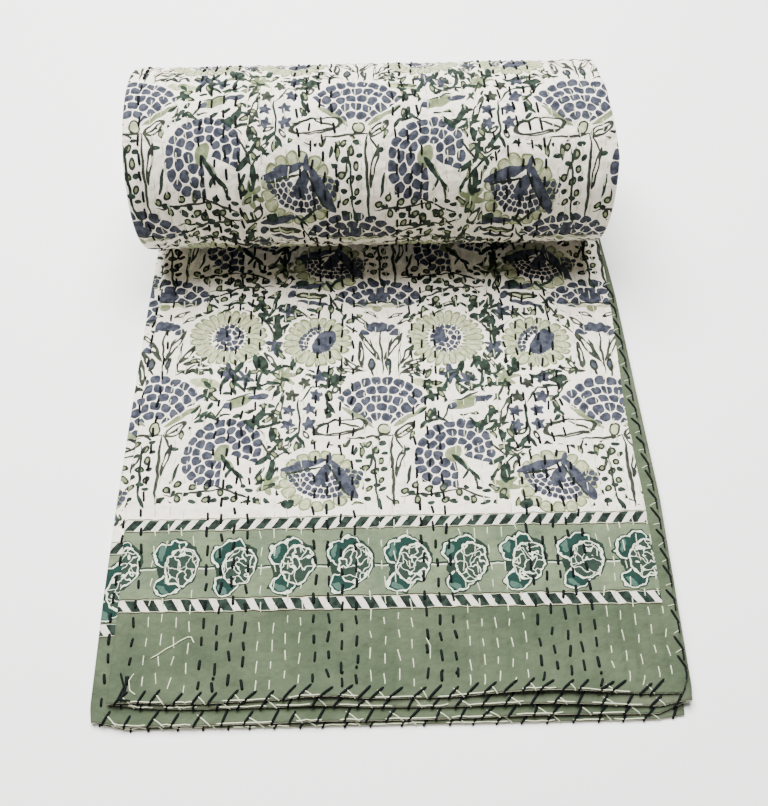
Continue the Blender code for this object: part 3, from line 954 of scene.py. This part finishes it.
def whip(thread, layer, edge, starts, thickness, reach, slant, lean=1):
    """Stitches round a hem, from inside it on the layer's upper face, over the edge and under it.

    Each has its own reach and slant between the two given. Returns where they cross the edge.
    """
    top_face, low_face, facing_up = (printed, reverse, outward) if layer % 2 else (reverse, printed, -outward)
    reach = rng.uniform(*reach, (len(starts), 1))
    slant = lean * rng.uniform(*slant, (len(starts), 1))
    inward = np.array((1.0, 0.88, 0.5, 0.12, 0.0, 0.25)) * reach
    sideways = np.array((0.5, 0.38, 0.0, -0.35, -0.5, -0.6)) * slant
    if edge == "front":
        share, along = starts[:, None] + sideways / LAYER_WIDTH, inward
        out = np.array((0.0, -1.0, 0.0))
    else:
        share, along = 1 - inward / LAYER_WIDTH, starts[:, None] + sideways
        out = np.array((1.0, 0.0, 0.0))
    share, along = np.clip(share, 0, 1), np.clip(along, 0, None)
    up = unit(on_cloth(facing_up, layer, share, along))
    over = on_cloth(top_face, layer, share, along)
    under = on_cloth(low_face, layer, share, along)
    lift = np.array((-0.5, 0.7, 0.95, 0.8, 0.0, -0.3))[:, None] * thickness / 2
    path = over + up * lift
    path[:, 4] = over[:, 4] + out * thickness * 0.4
    path[:, 5] = under[:, 5] - up[:, 5] * thickness * 0.1
    path[..., 2] = np.maximum(path[..., 2], thickness / 2)
    up[:, 4:] = out
    hem_parts[thread].append(spun(path, unit(up), np.full(len(starts), thickness)))
    return starts - slant[:, 0] / 2


def lay(thread, layer, stops, thickness):
    """A thread lying on a layer's upper face, through stops given as a share of the width and a distance."""
    face, facing_up = (printed, outward) if layer % 2 else (reverse, -outward)
    share, along = np.array(stops, float).T
    steps = np.linspace(0, len(share) - 1, 5 * len(share) + 1)
    share, along = (np.interp(steps, np.arange(len(share)), values)[None, :] for values in (share, along))
    up = unit(on_cloth(facing_up, layer, share, along))
    path = on_cloth(face, layer, share, along) + up * thickness / 2
    hem_parts[thread].append(spun(path, up, np.array([thickness])))


for layer, gap in ((3, 0.0185), (2, 0.024), (1, 0.023), (0, 0.024)):
    starts = np.arange(0.018, 0.985, gap / LAYER_WIDTH)
    starts = starts + rng.normal(0, 0.0035, len(starts))
    whip("d", layer, "front", starts, HEM_DARK, (0.0095, 0.0150), (0.006, 0.013))
    whip("p", layer, "front", starts[::2] + 0.008, HEM_PALE, (0.006, 0.010), (0.008, 0.014), -1)
starts = np.arange(0.03, AXIS_BACK - 0.12, 0.0235)
starts = starts + rng.normal(0, 0.002, len(starts))
side_ends = whip("d", 3, "side", starts, SIDE_DARK, (0.005, 0.008), (0.010, 0.015))
whip("p", 3, "side", starts + 0.011, SIDE_PALE, (0.006, 0.009), (0.001, 0.005), -1)
# The pale thread that runs along the front hems, a stretch at a time.
for layer in (3, 2, 1, 0):
    start = 0.03
    while start < 0.93:
        length = rng.uniform(0.03, 0.11)
        shares = np.linspace(start, start + length, 6)
        wander = 0.0007 + np.abs(rng.normal(0, 0.0006, 6))
        lay("p", layer, list(zip(shares, wander)), HEM_PALE)
        start += length + rng.uniform(0.015, 0.05)
# The ends left long, on the top layer near its hem.
for thread, thickness, stops in (
    ("p", 0.0013, ((0.062, 0.044), (0.092, 0.055), (0.125, 0.066), (0.131, 0.0655), (0.137, 0.059))),
    ("p", HEM_PALE, ((0.036, 0.029), (0.028, 0.022), (0.032, 0.012), (0.043, 0.008))),
    ("p", HEM_PALE, ((0.555, 0.038), (0.556, 0.052), (0.549, 0.061))),
    ("d", LONG_END, ((0.012, 0.030), (0.021, 0.016), (0.012, 0.002))),
    ("d", LONG_END, ((0.022, 0.027), (0.024, 0.014), (0.018, 0.001))),
    ("d", LONG_END, ((0.012, 0.004), (0.036, 0.0015))),
):
    lay(thread, 3, stops, thickness)
# The knots that end a few of the dark rows.
for row, along in ((7, 0.024), (16, 0.026), (17, 0.032), (22, 0.047), (23, 0.027), (24, 0.025), (34, 0.020)):
    share = row / STITCH_ROWS - 0.0017
    lay("d", 3, ((share, along), (share + 0.0035, along - 0.0012)), KNOT)
# Between its stitches the dark thread follows the side hem.
for end in side_ends:
    trail = ((0.0008, 0.001), (0.0004, -0.006), (0.0007, -0.012))
    lay("d", 3, [(1 - inside / LAYER_WIDTH, end + onward) for inside, onward in trail], TRAIL)
thread_mesh("dark_whipstitch", hem_parts["d"], thread_finish["d"])
thread_mesh("pale_whipstitch", hem_parts["p"], thread_finish["p"])

# ----------------------------------------------------------------------------------------------------
# The floor is matt white studio paper, under a large soft light overhead and a weak one in front. The camera
# looks down on the quilt from its front hem.

bpy.ops.object.select_all(action="DESELECT")
bpy.ops.mesh.primitive_plane_add(size=12, location=(0, 0, -0.0005))
floor = bpy.context.object
floor.name = "floor"
paper, _, _ = finish("studio_paper", Base_Color=linear("#FAFAF8"), Roughness=0.9)
floor.data.materials.append(paper)

world = bpy.data.worlds.new("studio")
bpy.context.scene.world = world
world.use_nodes = True
sky = world.node_tree.nodes["Background"].inputs
sky["Color"].default_value = linear("#FFFFFF")
sky["Strength"].default_value = 0.04

for name, spot, size, power in (
    ("overhead_softbox", (-0.25, 0.95, 2.35), 2.0, 320),
    ("front_softbox", (-1.3, -1.9, 1.9), 1.2, 14),
):
    lamp = bpy.data.lights.new(name, "AREA")
    lamp.size = size
    lamp.energy = power
    box = put(name, lamp)
    box.location = spot
    box.rotation_euler = (Vector((0, 0, 0.05)) - Vector(spot)).to_track_quat("-Z", "Y").to_euler()

CAMERA_AT = (0.0015, -0.6395, 1.004)
down, aside, tilt = (math.radians(angle) for angle in (57.88, -0.28, -1.35))
ahead = Vector((math.sin(aside) * math.cos(down), math.cos(aside) * math.cos(down), -math.sin(down)))
level = ahead.cross(Vector((0, 0, 1))).normalized()
upright = level.cross(ahead)
cam_right = math.cos(tilt) * level + math.sin(tilt) * upright
cam_up = math.cos(tilt) * upright - math.sin(tilt) * level
lens = bpy.data.cameras.new("camera")
lens.lens = 44.66
lens.sensor_width = 36
camera = put("camera", lens)
turned = Matrix((cam_right, cam_up, -ahead)).transposed()
camera.matrix_world = Matrix.Translation(CAMERA_AT) @ turned.to_4x4()
bpy.context.scene.camera = camera
